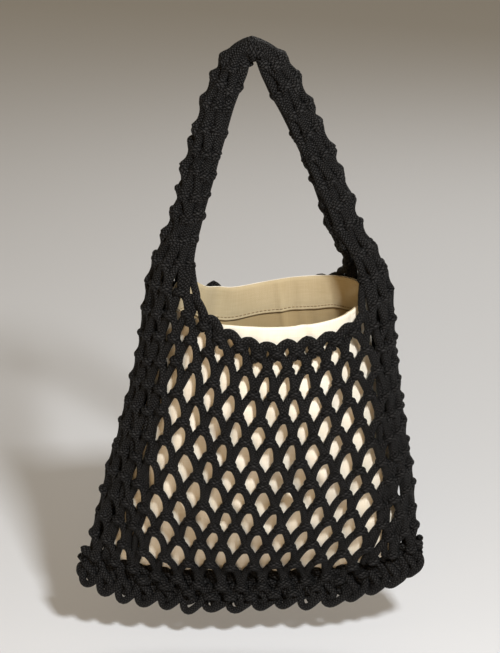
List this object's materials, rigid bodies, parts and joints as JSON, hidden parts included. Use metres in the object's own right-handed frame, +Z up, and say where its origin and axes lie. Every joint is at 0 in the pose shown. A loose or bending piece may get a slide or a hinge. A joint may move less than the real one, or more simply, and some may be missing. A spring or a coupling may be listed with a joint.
{
  "type": "net shoulder bag",
  "caption": "Hand-knotted net shoulder bag of thick black braided cord, with an open canvas pouch inside and a knotted net strap.",
  "frame": {"origin": "the inner side of the strap's top, where a hook or a shoulder carries the bag", "axes": "+Z up, +X to the right of the picture, the front of the bag faces -Y"},
  "size_m": [0.308, 0.13, 0.5207],
  "materials": {
    "cord": "soft matte braid",
    "canvas": "plain weave",
    "facing_canvas": "plain weave, stitched along its lower edge"
  },
  "bodies": {
    "root": {"net_front": "cord", "net_back": "cord", "net_side_left": "cord", "net_side_right": "cord", "net_hem": "cord", "strap": "cord", "pouch_front": "canvas", "pouch_back": "canvas", "facing": "facing_canvas"}
  },
  "joints": []
}
